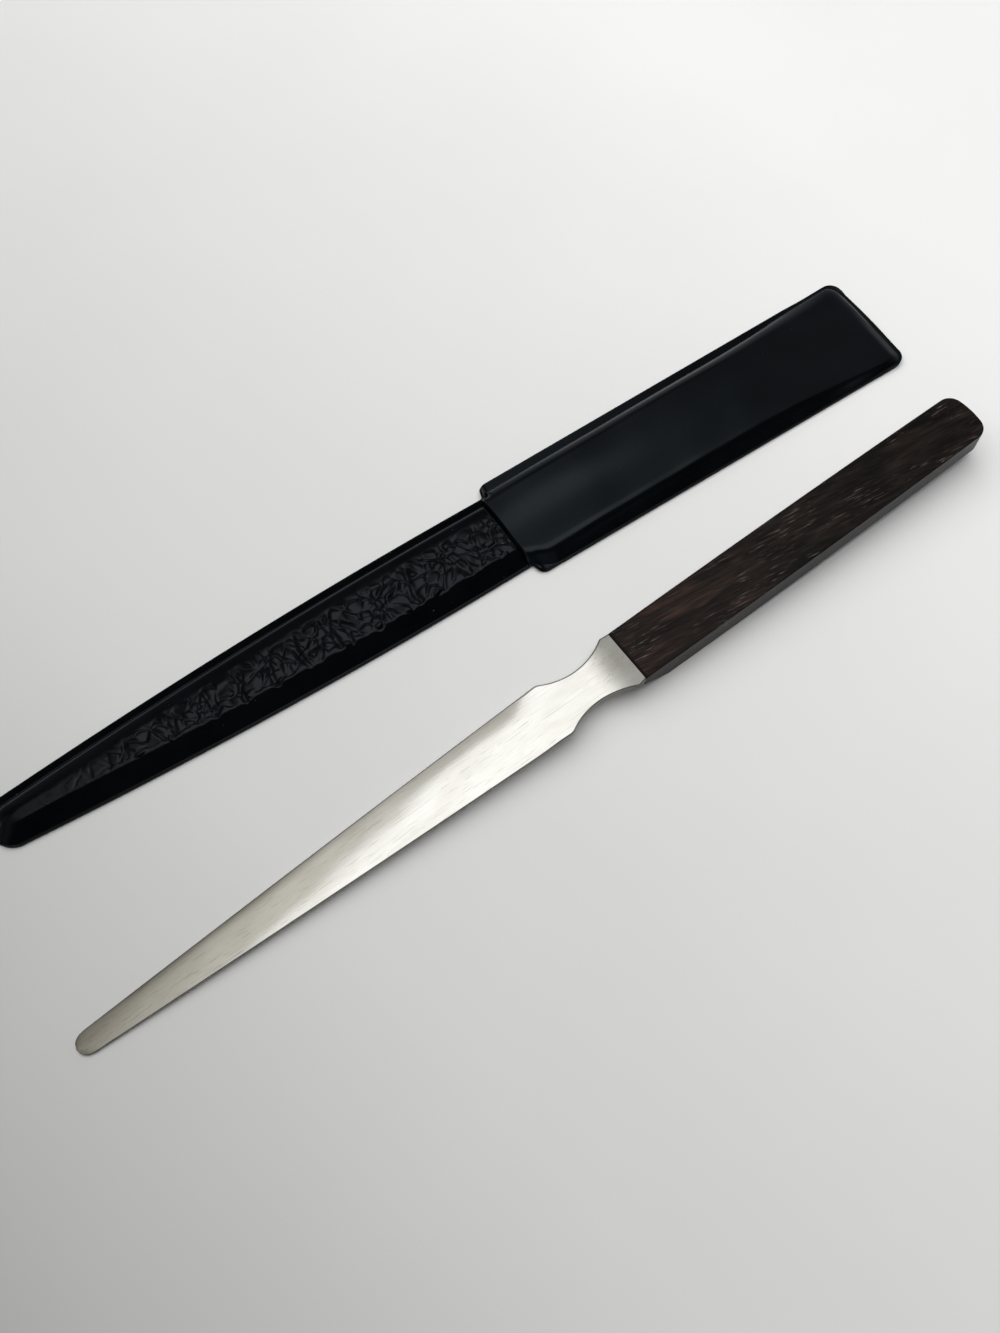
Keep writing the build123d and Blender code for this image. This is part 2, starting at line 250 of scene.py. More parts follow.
# Rosewood, planed and oiled: nearly black brown, reddish by the steel, with pale open pores a little aslant
def oiledRosewood():
    material, tree = startMaterial("oiledRosewood", IOR=1.5, Specular_IOR_Level=0.14)
    figure = addNode(
        tree,
        "TexNoise",
        {"Vector": openerMap(tree, 16, 2.6, 2.6, aslant=-6), "Scale": 1, "Detail": 5, "Distortion": 0.9},
    )
    grain = addNode(
        tree,
        "TexNoise",
        {"Vector": openerMap(tree, 6, 0.5, 0.5, aslant=-8), "Scale": 1, "Detail": 4, "Distortion": 0.3},
    )
    pores = addNode(
        tree,
        "TexNoise",
        {
            "Vector": openerMap(tree, 5.0, 0.25, 0.25, aslant=-9),
            "Scale": 1,
            "Detail": 3,
            "Distortion": 0.45,
        },
    )
    patches = addNode(tree, "TexNoise", {"Vector": openerMap(tree, 15, 5, 5), "Scale": 1, "Detail": 2})
    dark, warm = (
        addNode(tree, "ValToRGB", {"Fac": figure.outputs["Fac"]}, [(0.3, low), (0.7, high), (0.5, middle)])
        for low, middle, high in (("#080605", "#14100e", "#25201d"), ("#120d0b", "#251a16", "#3e2b23"))
    )
    place = addNode(tree, "SeparateXYZ", {"Vector": openerMap(tree, 1, 1, 1)})
    start, end = handle["reddish"]
    nearSteel = addNode(
        tree,
        "MapRange",
        {"Value": place.outputs["X"], "From Min": start, "From Max": end, "To Min": 1.0, "To Max": 0.15},
    )
    body = addNode(
        tree,
        "Mix",
        {0: nearSteel.outputs["Result"], 6: dark.outputs["Color"], 7: warm.outputs["Color"]},
        data_type="RGBA",
    )
    streak = addNode(tree, "ValToRGB", {"Fac": grain.outputs["Fac"]}, [(0.36, 0.2), (0.66, 1.15)])
    grained = addNode(
        tree,
        "Mix",
        {0: 0.9, 6: body.outputs[2], 7: streak.outputs["Color"]},
        data_type="RGBA",
        blend_type="MULTIPLY",
    )
    openPores = addNode(tree, "ValToRGB", {"Fac": pores.outputs["Fac"]}, [(0.6, 0.0), (0.7, 1.0)])
    clustered = addNode(tree, "ValToRGB", {"Fac": patches.outputs["Fac"]}, [(0.47, 0.05), (0.66, 1.0)])
    poreMask = addNode(
        tree,
        "Math",
        {0: openPores.outputs["Color"], 1: clustered.outputs["Color"]},
        operation="MULTIPLY",
    )
    flecked = addNode(
        tree,
        "Mix",
        {0: poreMask.outputs["Value"], 6: grained.outputs[2], 7: hexLinear("#6c615a")},
        data_type="RGBA",
    )
    start, end = handle["glueLine"]
    glueLine = addNode(
        tree,
        "MapRange",
        {"Value": place.outputs["X"], "From Min": start, "From Max": end, "To Min": 0.08, "To Max": 1.0},
    )
    joined = addNode(
        tree,
        "Mix",
        {0: 1.0, 6: flecked.outputs[2], 7: glueLine.outputs["Result"]},
        data_type="RGBA",
        blend_type="MULTIPLY",
    )
    bump = addNode(
        tree,
        "Bump",
        {"Height": poreMask.outputs["Value"], "Strength": 0.5, "Distance": 0.06 * toMetres},
        invert=True,
    )
    grainBump = addNode(
        tree,
        "Bump",
        {
            "Height": grain.outputs["Fac"],
            "Strength": 0.3,
            "Distance": 0.04 * toMetres,
            "Normal": bump.outputs["Normal"],
        },
    )
    sheen = addNode(tree, "MapRange", {"Value": grain.outputs["Fac"], "To Min": 0.3, "To Max": 0.45})
    return finishMaterial(
        material,
        Base_Color=joined.outputs[2],
        Roughness=sheen.outputs["Result"],
        Normal=grainBump.outputs["Normal"],
    )


# Cured epoxy, poured: amber and a little cloudy, hidden in the mortise
def curedEpoxy():
    material, tree = startMaterial("curedEpoxy", IOR=1.55, Roughness=0.35)
    cloud = addNode(tree, "TexNoise", {"Vector": openerMap(tree, 4, 4, 4), "Scale": 1, "Detail": 3})
    tone = addNode(tree, "ValToRGB", {"Fac": cloud.outputs["Fac"]}, [(0.3, "#8a6a35"), (0.7, "#a88a50")])
    return finishMaterial(material, Base_Color=tone.outputs["Color"])


# Steel blade: a lens across the ground part, a flat waisted neck, and a ramp up to the wood
blade = {
    "length": 124.3,
    "neck": 17.8,
    "halfThick": 0.65,
    "tipHalfThick": 0.35,
    "tipWidth": 4.4,
    "tipRound": 2.0,
    "edgeHalf": 0.175,
    "shoulderWidth": 12.4,
    "bulge": 0.42,
    "fullFrom": 53.0,
    "grindRunout": 9.0,
    "grindPast": 3.0,
    "grindEnds": (116.0, 122.0),
    "neckWidth": 8.05,
    "waistFromWood": 10.4,
    "collarWidth": 12.6,
    "collarLength": 1.9,
    "jointWidth": 12.0,
    "neckDip": 0.42,
    "dipRun": 5.0,
    "levelShort": 1.0,
    "rampFrom": 116.0,
    "rampBend": 120.3,
    "rampSlopes": (0.13, 0.165),
    "cornerReach": 0.4,
    "edgeRound": 0.36,
    "edgeRoundShare": 0.9,
    "noseFlat": 0.03,
    "noseRound": 0.35,
    "pointsAcross": 45,
    "jointRound": 0.06,
    "tangLength": 46.0,
    "tangWidth": 6.4,
    "tangRound": 1.5,
}


def circleThrough(a, b, c):
    rows = np.array([[p[0] - a[0], p[1] - a[1]] for p in (b, c)]) * 2
    sums = np.array([p[0] ** 2 + p[1] ** 2 - a[0] ** 2 - a[1] ** 2 for p in (b, c)])
    centre = np.linalg.solve(rows, sums)
    return centre, math.hypot(*(centre - np.array(a)))


def bladeHalfWidth(u):
    b = blade
    shoulder = b["length"] - b["neck"]
    share = u / shoulder
    straight = b["tipWidth"] + (b["shoulderWidth"] - b["tipWidth"]) * share
    side = (straight + 4 * b["bulge"] * share * (1 - share)) / 2
    collar = (b["length"] - b["collarLength"], b["collarWidth"] / 2)
    waist = (b["length"] - b["waistFromWood"], b["neckWidth"] / 2)
    centre, radius = circleThrough((shoulder, b["shoulderWidth"] / 2), waist, collar)
    reach = np.sqrt(np.maximum(radius**2 - (u - centre[0]) ** 2, 0))
    neck = np.where(reach > 0, centre[1] - reach, centre[1])
    flare = collar[1] + (u - collar[0]) * (b["jointWidth"] / 2 - collar[1]) / b["collarLength"]
    half = softMin(softMin(side, neck, b["cornerReach"]), flare, b["cornerReach"] / 2)
    tipRadius = ((b["tipWidth"] / 2) ** 2 + b["tipRound"] ** 2) / (2 * b["tipRound"])
    nose = np.sqrt(np.maximum(tipRadius**2 - (np.minimum(u, tipRadius) - tipRadius) ** 2, 0))
    return np.where(u < b["tipRound"], np.minimum(nose, half), half)


def rampRise(u):
    # the neck sweeps up to the wood in a hollow curve that gets steeper
    b = blade
    first, last = b["rampSlopes"]
    lead = np.clip(u - b["rampFrom"], 0, b["rampBend"] - b["rampFrom"])
    rest = np.clip(u - b["rampBend"], 0, b["length"] - b["rampBend"])
    sweep = first * lead**2 / (2 * (b["rampBend"] - b["rampFrom"]))
    return sweep + first * rest + (last - first) * rest**2 / (2 * (b["length"] - b["rampBend"]))


def bladeStations():
    b = blade
    shoulder = b["length"] - b["neck"]
    before, after = shoulder - 8, shoulder + 5  # finer steps round the shoulder
    ramp = b["rampFrom"] - 0.5  # and up the ramp
    tip = b["tipRound"] * (1 - np.cos(np.linspace(0.04, math.pi / 2, 16)))
    jointEnd = b["length"] - b["jointRound"] * (1 - np.sin(np.linspace(0, math.pi / 2, 6)))
    return np.concatenate(
        [
            tip,
            np.arange(b["tipRound"] + 0.5, before, 1.0),
            np.arange(before, after, 0.25),
            np.arange(after, ramp, 0.5),
            np.arange(ramp, b["length"] - b["jointRound"] - 0.1, 0.2),
            jointEnd,
        ]
    )


def bladeRings():
    b = blade
    u = bladeStations()[:, None]
    v = np.sin(np.linspace(-math.pi / 2, math.pi / 2, b["pointsAcross"]))[None, :]
    half = bladeHalfWidth(u)
    shoulder = b["length"] - b["neck"]
    swell = np.sin(np.clip(u / b["fullFrom"], 0, 1) * math.pi / 2)
    crown = b["tipHalfThick"] + (b["halfThick"] - b["tipHalfThick"]) * swell
    ground = ease(shoulder - b["grindRunout"], shoulder + b["grindPast"], u)
    edge = b["edgeHalf"] + (b["halfThick"] - b["edgeHalf"]) * ground
    body = edge + (crown - edge) * (1 - v * v)
    radius = np.minimum(b["edgeRound"], b["edgeRoundShare"] * edge)
    depth = np.minimum(half * (1 - np.abs(v)), radius)
    body = body - (radius - np.sqrt(np.maximum(radius**2 - (radius - depth) ** 2, 0)))
    nose = np.clip((u + b["noseFlat"]) / b["noseRound"], 0, 1)
    body = body * np.sqrt(1 - (1 - nose) ** 2)
    bevel = b["jointRound"]
    toEnd = np.minimum(b["length"] - u, bevel)
    endDrop = bevel - np.sqrt(np.maximum(bevel**2 - (bevel - toEnd) ** 2, 0))
    dip = b["neckDip"] * ease(shoulder - b["dipRun"], b["rampFrom"], u)
    ramp = rampRise(u) - dip
    y = half * v
    station = np.broadcast_to(u, y.shape)
    top = np.stack([station, y, body + ramp - endDrop], -1)
    levelled = ease(b["rampFrom"], b["length"] - b["levelShort"], u)
    level = np.broadcast_to(dip * (1 - levelled), y.shape)
    under = np.stack([station, y, -body - level], -1)[:, ::-1]
    return np.concatenate([top, under], 1)


def tangRings(count):
    # same number of points round the tang, so that the joint face closes by itself
    b = blade
    half = count // 2
    v = np.linspace(-1, 1, half)
    ends = b["tangRound"] * (1 - np.cos(np.linspace(0, math.pi / 2, 6)))[::-1]
    rings = []
    for station in [0.0, b["tangLength"] / 2, *(b["tangLength"] - ends)]:
        into = max(station - (b["tangLength"] - b["tangRound"]), 0)
        width = b["tangWidth"] / 2 - b["tangRound"] + math.sqrt(max(b["tangRound"] ** 2 - into**2, 0))
        line = np.full(half, b["length"] + station)
        top = np.stack([line, v * width, np.full(half, b["halfThick"])], -1)
        under = np.stack([line, -v * width, np.full(half, -b["halfThick"])], -1)
        rings.append(np.concatenate([top, under]))
    return np.array(rings)


def makeBlade():
    rings = bladeRings()
    rings = np.concatenate([rings, tangRings(rings.shape[1])])
    rows, count = rings.shape[:2]
    origin, along, across, up = openerAxes()
    points = origin + rings[..., :1] * along + rings[..., 1:2] * across + rings[..., 2:] * up
    faces = quads(rows, count, wrap=True)
    faces.append(list(range(count)))
    faces.append([(rows - 1) * count + i for i in reversed(range(count))])
    piece = makePiece("steelBlade", points, faces, satinGroundStainless(), "opener")
    side = np.abs(rings[..., 1])
    edgeGap = np.minimum(side.max(1, keepdims=True) - side, rings[..., 0]).ravel()
    piece.data.attributes.new("edgeGap", "FLOAT", "POINT").data.foreach_set("value", edgeGap)
    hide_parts("blade")


makeBlade()
print("blade ground, joint at", blade["length"], "mm")

# The bar of wood and the glue keep their CAD shape
for nodeName, finish in (("handle", oiledRosewood()), ("tang_adhesive", curedEpoxy())):
    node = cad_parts[nodeName]
    node.data.materials.clear()
    node.data.materials.append(finish)
print("handle and glue finished")

# Sheath: one outline for all its sheets, and the levels that they lie at
sheath = {
    "tipX": -108.0,
    "lapX": 8.0,
    "mouthX": 108.0,
    "tipWidth": 10.0,
    "middleWidth": 17.4,
    "junctionWidth": 19.0,
    "shoulderWidth": 24.6,
    "mouthWidth": 26.2,
    "shoulderStart": 2.1,
    "shoulderRun": 1.2,
    "shoulderRound": 1.8,
    "notchRound": 0.5,
    "tipRound": 4.0,
    "mouthRound": 2.8,
    "weld": 1.7,
    "backThick": 0.4,
    "liningThick": 0.15,
    "boardThick": 0.35,
    "boardRun": (0.4, 1.1),
    "boardCorner": 1.0,
    "sheetPlay": 0.01,
    "rimTop": 0.76,
    "lapEdge": 8.9,
}


def bladePartHalf(x):
    s = sheath
    middle = ((s["tipX"] + s["lapX"]) / 2, s["middleWidth"] / 2)
    tip, junction = (s["tipX"], s["tipWidth"] / 2), (s["lapX"], s["junctionWidth"] / 2)
    centre, radius = circleThrough(tip, middle, junction)
    return centre[1] + np.sqrt(radius**2 - (np.minimum(x, s["lapX"]) - centre[0]) ** 2)


def handlePartHalf(x):
    s = sheath
    flare = s["lapX"] + s["shoulderStart"] + s["shoulderRun"]
    share = (x - flare) / (s["mouthX"] - flare)
    return (s["shoulderWidth"] + (s["mouthWidth"] - s["shoulderWidth"]) * share) / 2


def roundOff(depth, radius):
    # how far a rounded corner falls short of a square one
    into = np.clip(depth, 0, radius)
    return radius - np.sqrt(radius**2 - into**2)


def outlineHalf(x):
    s = sheath
    tipCut = roundOff(s["tipX"] + s["tipRound"] - x, s["tipRound"])
    mouthCut = roundOff(x - s["mouthX"] + s["mouthRound"], s["mouthRound"])
    step = s["lapX"] + s["shoulderStart"]
    cornerCut = roundOff(step + s["shoulderRound"] - x, s["shoulderRound"])
    riser = ease(step - s["notchRound"], step, x)
    return bladePartHalf(x) * (1 - riser) + (handlePartHalf(x) - cornerCut) * riser - tipCut - mouthCut


def sheetGrid(xs, half, insets):
    # lines that run beside the outline at the given distances, from one side to the other
    half = half[:, None]
    insets = np.asarray(insets)[None, :]
    one = half - insets * np.minimum(1, half / insets.max())
    y = np.concatenate([-one, one[:, -2::-1]], 1)
    return np.broadcast_to(xs[:, None], y.shape), y


tipEnd = sheath["tipX"] + sheath["tipRound"] * (1 - np.cos(np.linspace(0.02, math.pi / 2, 14)))
mouthEnd = sheath["mouthX"] - sheath["mouthRound"] * (1 - np.cos(np.linspace(math.pi / 2, 0.02, 14)))
edgeLines = [0, 0.04, 0.1, 0.18, 0.28, 0.4, 0.52, 0.64, 0.76, 0.88, 1.0, 1.1, 1.2, 1.27]
edgeLines += [1.31, 1.36, 1.42, 1.5, 1.6, 1.72, 1.85, 2.0, 2.2, 2.4]
wallLines = [2.6, 2.9, 3.2, 3.6, 4.1, 4.7, 5.5, 6.5, 7.7, 9.0, 10.5, 12.3]

# Rim of the front sheets: a bead on the near side, turned up on the far side
rim = {
    "curlFrom": 0.08,
    "bead": 0.09,
    "beadRun": (0.05, 0.35),
    "cutDepth": 0.1,
    "cutRound": 0.18,
    "sideRun": (-2, 2),
    "drawIn": 0.2,
    "drawRun": (2, 9),
}


def rimProfile(t, y, reach, steepness):
    # the welding bar sinks a track, and the sheet rises again outside it
    curl = steepness * reach * (1 - np.clip((t - rim["curlFrom"]) / reach, 0, 1))
    bead = rim["bead"] * (1 - ease(*rim["beadRun"], t))
    cut = -rim["cutDepth"] * (1 - np.sqrt(1 - np.clip(1 - t / rim["cutRound"], 0, 1) ** 2))
    return bead + (curl - bead) * ease(*rim["sideRun"], y) + cut


def drawIn(y):
    # the turned-up far edge stands a little inside the back sheet
    return y - rim["drawIn"] * ease(*rim["drawRun"], y)


def addWaves(start, x, y, waves):
    for size, alongX, alongY, phase in waves:
        start = start + size * np.sin(alongX * x + alongY * y + phase)
    return start


def bentSlope(share, bend):
    # a straight slope that rounds over along the last part of its run
    left = 1 - share
    full = 1 - 2 * bend / 3
    return 1 - np.where(left < bend, left**3 / (3 * bend**2), left - 2 * bend / 3) / full


def sheathMap(tree, *stretch):
    return patternMap(tree, addNode(tree, "TexCoord").outputs["Object"], stretch)


# Plasticised PVC sheet, calendered smooth: blue-black satin with a faint fine grain and a little dust
def calenderedVinyl():
    material, tree = startMaterial(
        "calenderedVinyl", IOR=1.53, Specular_IOR_Level=0.27, Specular_Tint=hexLinear("#dcecf8")
    )
    cloud = addNode(tree, "TexNoise", {"Vector": sheathMap(tree, 14, 9, 9), "Scale": 1, "Detail": 4})
    grain = addNode(tree, "TexNoise", {"Vector": sheathMap(tree, 0.4, 0.4, 0.4), "Scale": 1, "Detail": 2})
    dust = addNode(tree, "TexNoise", {"Vector": sheathMap(tree, 0.5, 0.5, 0.5), "Scale": 1, "Detail": 1})
    tone = addNode(tree, "ValToRGB", {"Fac": cloud.outputs["Fac"]}, [(0.3, "#030507"), (0.7, "#07090d")])
    speck = addNode(tree, "ValToRGB", {"Fac": dust.outputs["Fac"]}, [(0.8, 0.0), (0.86, 0.5)])
    dusted = addNode(
        tree,
        "Mix",
        {0: speck.outputs["Color"], 6: tone.outputs["Color"], 7: hexLinear("#4a4d50")},
        data_type="RGBA",
    )
    gloss = addNode(tree, "MapRange", {"Value": cloud.outputs["Fac"], "To Min": 0.17, "To Max": 0.25})
    bump = addNode(
        tree, "Bump", {"Height": grain.outputs["Fac"], "Strength": 0.1, "Distance": 0.02 * toMetres}
    )
    return finishMaterial(
        material,
        Base_Color=dusted.outputs[2],
        Roughness=gloss.outputs["Result"],
        Normal=bump.outputs["Normal"],
    )


# PVC sheet pressed by a crocodile plate: glossy black cells with dark creases between them
def crocodileVinyl():
    material, tree = startMaterial(
        "crocodileVinyl", IOR=1.53, Specular_IOR_Level=0.24, Specular_Tint=hexLinear("#dce6f6")
    )
    cloud = addNode(tree, "TexNoise", {"Vector": sheathMap(tree, 6, 4, 4), "Scale": 1, "Detail": 4})
    wrinkle = addNode(
        tree, "TexNoise", {"Vector": sheathMap(tree, 0.5, 0.7, 0.7), "Scale": 1, "Detail": 3}
    )
    dust = addNode(tree, "TexNoise", {"Vector": sheathMap(tree, 0.45, 0.45, 0.45), "Scale": 1, "Detail": 1})
    tone = addNode(tree, "ValToRGB", {"Fac": cloud.outputs["Fac"]}, [(0.3, "#030405"), (0.7, "#06070a")])
    speck = addNode(tree, "ValToRGB", {"Fac": dust.outputs["Fac"]}, [(0.79, 0.0), (0.85, 0.7)])
    dusted = addNode(
        tree,
        "Mix",
        {0: speck.outputs["Color"], 6: tone.outputs["Color"], 7: hexLinear("#5a5c5c")},
        data_type="RGBA",
    )
    gloss = addNode(tree, "MapRange", {"Value": cloud.outputs["Fac"], "To Min": 0.11, "To Max": 0.18})
    # more finely wrinkled towards the tip
    place = addNode(tree, "SeparateXYZ", {"Vector": sheathMap(tree, 1, 1, 1)})
    start, end = emboss["wrinkleFade"]
    wrinkled = addNode(
        tree,
        "MapRange",
        {"Value": place.outputs["X"], "From Min": start, "From Max": end, "To Min": 0.22, "To Max": 0.04},
    )
    bump = addNode(
        tree,
        "Bump",
        {
            "Height": wrinkle.outputs["Fac"],
            "Strength": wrinkled.outputs["Result"],
            "Distance": 0.12 * toMetres,
        },
    )
    return finishMaterial(
        material,
        Base_Color=dusted.outputs[2],
        Roughness=gloss.outputs["Result"],
        Normal=bump.outputs["Normal"],
    )


# Thin PVC lining, matt: dull charcoal with a faint crinkle, seen inside the mouth
def mattLining():
    material, tree = startMaterial("mattLining", IOR=1.5, Specular_IOR_Level=0.3)
    crinkle = addNode(tree, "TexNoise", {"Vector": sheathMap(tree, 1.6, 1.1, 1.1), "Scale": 1, "Detail": 4})
    tone = addNode(tree, "ValToRGB", {"Fac": crinkle.outputs["Fac"]}, [(0.3, "#111214"), (0.7, "#1c1d20")])
    gloss = addNode(tree, "MapRange", {"Value": crinkle.outputs["Fac"], "To Min": 0.55, "To Max": 0.72})
    bump = addNode(
        tree, "Bump", {"Height": crinkle.outputs["Fac"], "Strength": 0.2, "Distance": 0.08 * toMetres}
    )
    return finishMaterial(
        material,
        Base_Color=tone.outputs["Color"],
        Roughness=gloss.outputs["Result"],
        Normal=bump.outputs["Normal"],
    )


# Cut edge of the same PVC: rougher and a little greyer than the skin
def cutVinylEdge():
    material, tree = startMaterial("cutVinylEdge", IOR=1.53, Roughness=0.6)
    nicks = addNode(tree, "TexNoise", {"Vector": sheathMap(tree, 1.2, 1.2, 0.4), "Scale": 1, "Detail": 3})
    tone = addNode(tree, "ValToRGB", {"Fac": nicks.outputs["Fac"]}, [(0.3, "#1d1e20"), (0.7, "#4a4a4a")])
    return finishMaterial(material, Base_Color=tone.outputs["Color"])


smoothFinish = calenderedVinyl()
liningFinish = mattLining()
edgeFinish = cutVinylEdge()


def sheathStations():
    s = sheath
    step = s["lapX"] + s["shoulderStart"]
    return np.concatenate(
        [
            tipEnd,
            np.arange(s["tipX"] + s["tipRound"] + 1, step - 1, 1.5),
            np.arange(step - 0.5, step + s["shoulderRun"] + 0.5, 0.15),
            np.arange(step + s["shoulderRun"] + 1, s["mouthX"] - s["mouthRound"] - 0.5, 1.5),
            mouthEnd,
        ]
    )


backStations = sheathStations()
backHalf = outlineHalf(backStations)
weldLines = [0.6, 1.2, 1.9]


def makeBack():
    s = sheath
    x, y = sheetGrid(backStations, backHalf, [0, *weldLines, *wallLines])
    points = np.stack([x, y, np.full_like(y, s["backThick"])], -1)
    piece = makePiece("vinylBack", points, quads(*x.shape), smoothFinish, "sheath")
    thicken(piece, s["backThick"], edgeFinish)
    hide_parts("sheath_back_cover", "sheath_back_board")


def makeBackLining():
    s = sheath
    x, y = sheetGrid(backStations, backHalf, [0.05, *weldLines, 2.1, 2.35, *wallLines])
    t = outlineHalf(x) - np.abs(y)
    fromEnds = np.minimum(x - s["tipX"], s["mouthX"] - x)
    start, end = s["boardRun"]
    over = ease(s["weld"] + start, s["weld"] + end, softMin(t, fromEnds, s["boardCorner"]))
    points = np.stack([x, y, s["backThick"] + s["liningThick"] + s["boardThick"] * over], -1)
    piece = makePiece("vinylBackLining", points, quads(*x.shape), liningFinish, "sheath")
    thicken(piece, s["liningThick"] - s["sheetPlay"])
    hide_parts("sheath_back_lining")


makeBack()
makeBackLining()
print("sheath's back laid")

# Embossed front over the blade: a low dome with crocodile cells pressed into it
emboss = {
    "seed": 11,
    "endX": 10.2,
    "grid": 0.22,
    "gridFrom": 2.6,
    "coverThick": 0.5,
    "turnUp": (1.35, 0.5),
    # the dome
    "domeHeight": 2.3,
    "nearFoot": 0.35,
    "nearRun": 5.3,
    "nearShare": 0.9,
    "nearRound": 0.3,
    "farFoot": 1.6,
    "farWall": 1.3,
    "farShare": 0.58,
    "farSpan": 0.96,
    "ridge": (-0.6, 0.6),
    "tipCorner": 2.5,
    "levelRun": (-60, -15),
    "tipFall": (1.5, 0.5),
    "tipStep": (0.7, 0.3),
    "lapGroove": 0.9,
    "lapGrooveRun": (8.2, 8.9),
    # its cells, and the blocks and creases that part them
    "cell": 2.8,
    "groove": 0.62,
    "relief": 0.16,
    "doming": 0.02,
    "tilt": 0.09,
    "faceNear": 0.07,
    "lift": 0.05,
    "jitter": 0.46,
    "rowPitch": 0.9,
    "fieldHalf": 14,
    "wanderX": ((0.7, 0.17, 0.55, 0), (0.12, -0.9, 1.7, 0)),  # size, waves along x and y, phase
    "wanderY": ((0.6, 0.45, -0.4, 0), (0.12, 1.4, 1.1, 0)),
    "block": 7.5,
    "blockGroove": 0.6,
    "creaseStep": 9.0,
    "creaseSpacing": (0.75, 1.2),
    "creaseEnds": (6, 5),
    "creaseDepth": 0.2,
    "creaseWidth": 0.6,
    "creaseWave": (0.8, 0.35),
    "creaseBow": 0.015,
    # where the cells fade out
    "plainFar": 4.6,
    "plainFade": 2.2,
    "border": 4.4,
    "borderTip": 0.5,
    "borderRun": (-95, -20),
    "borderWaves": ((0.35, 0.83, 0, 0), (0.2, 1.9, 0, 1)),
    "borderSoft": 0.35,
    "tipFade": (4, 45),
    "lapFade": (8.0, 8.7),
    "wrinkleFade": (-85, -25),
    # what the flat sheet allows for the dome
    "flatRise": 1.5,
    "flatStretch": 1.05,
}


def pressedCells(x, y, size, seed):
    # distances to the nearest and next seed of a jittered field, with the nearest seed's number and place
    e = emboss
    rng = np.random.default_rng(seed)
    gx, gy = np.meshgrid(
        np.arange(sheath["tipX"] - 2 * size, sheath["lapX"] + 3 * size, size),
        np.arange(-e["fieldHalf"], e["fieldHalf"], size * e["rowPitch"]),
        indexing="ij",
    )
    gy = gy + (np.arange(gx.shape[0]) % 2)[:, None] * size * e["rowPitch"] / 2
    field = np.stack([gx, gy], -1) + rng.uniform(-e["jitter"], e["jitter"], (*gx.shape, 2)) * size
    field = field.reshape(-1, 2)
    first = np.full(x.shape, np.inf)
    second = np.full(x.shape, np.inf)
    owner = np.zeros(x.shape, int)
    for i, (px, py) in enumerate(field):
        gap = np.hypot(x - px, y - py)
        closer = gap < first
        second = np.where(closer, first, np.minimum(second, gap))
        owner = np.where(closer, i, owner)
        first = np.where(closer, gap, first)
    return first, second, owner, field, rng


def crocodileRelief(x, y):
    e = emboss
    warpX = addWaves(x, x, y, e["wanderX"])
    warpY = addWaves(y, x, y, e["wanderY"])
    first, second, owner, field, rng = pressedCells(warpX, warpY, e["cell"], e["seed"])
    lean = rng.normal(0, 1, field.shape) * e["tilt"] + np.array([0, e["faceNear"]])
    lift = rng.uniform(-e["lift"], e["lift"], len(field))
    groove = np.exp(-(((second - first) / e["groove"]) ** 2))
    facet = (warpX - field[owner, 0]) * lean[owner, 0] + (warpY - field[owner, 1]) * lean[owner, 1]
    cells = (lift[owner] + facet - e["doming"] * first**2) * (1 - groove) - e["relief"] * groove
    first, second = pressedCells(warpX, warpY, e["block"], e["seed"] + 1)[:2]
    blocks = -e["relief"] * np.exp(-(((second - first) / e["blockGroove"]) ** 2))
    creases = np.zeros_like(x)
    sway, rate = e["creaseWave"]
    place = sheath["lapX"] - e["creaseEnds"][1]
    while place > sheath["tipX"] + e["creaseEnds"][0]:
        bend = place + sway * np.sin(rate * y + rng.uniform(0, 6)) + e["creaseBow"] * y * y
        creases -= e["creaseDepth"] * np.exp(-(((x - bend) / e["creaseWidth"]) ** 2))
        place -= e["creaseStep"] * rng.uniform(*e["creaseSpacing"])
    return cells + blocks + creases


def embossDome(x, y):
    # distance in from the edge, and height of the embossed front over the rim, without its cells
    e = emboss
    half = bladePartHalf(x)
    t = softMin(half - np.abs(y), x - sheath["tipX"], e["tipCorner"])
    run = np.minimum(e["nearRun"], e["nearShare"] * (half - e["nearFoot"]))
    # the near side falls in a long smooth slope
    near = bentSlope(np.clip((t - e["nearFoot"]) / run, 0, 1), e["nearRound"])
    # the far side drops at once, and is nearly flat up to there
    drop = np.sqrt(1 - (1 - np.clip((t - e["farFoot"]) / e["farWall"], 0, 1)) ** 2)
    # towards the tip it falls more evenly from a low ridge
    level = ease(*e["levelRun"], x)
    inward = np.clip((t - e["farFoot"]) / (e["farSpan"] * half - e["farFoot"]), 0, 1)
    flat = 1 - (1 - inward) ** (e["tipFall"][0] + e["tipFall"][1] * level)
    step = e["farShare"] * (e["tipStep"][0] + e["tipStep"][1] * level)
    far = step * drop + (1 - step) * flat
    return t, e["domeHeight"] * (near + (far - near) * ease(*e["ridge"], y))


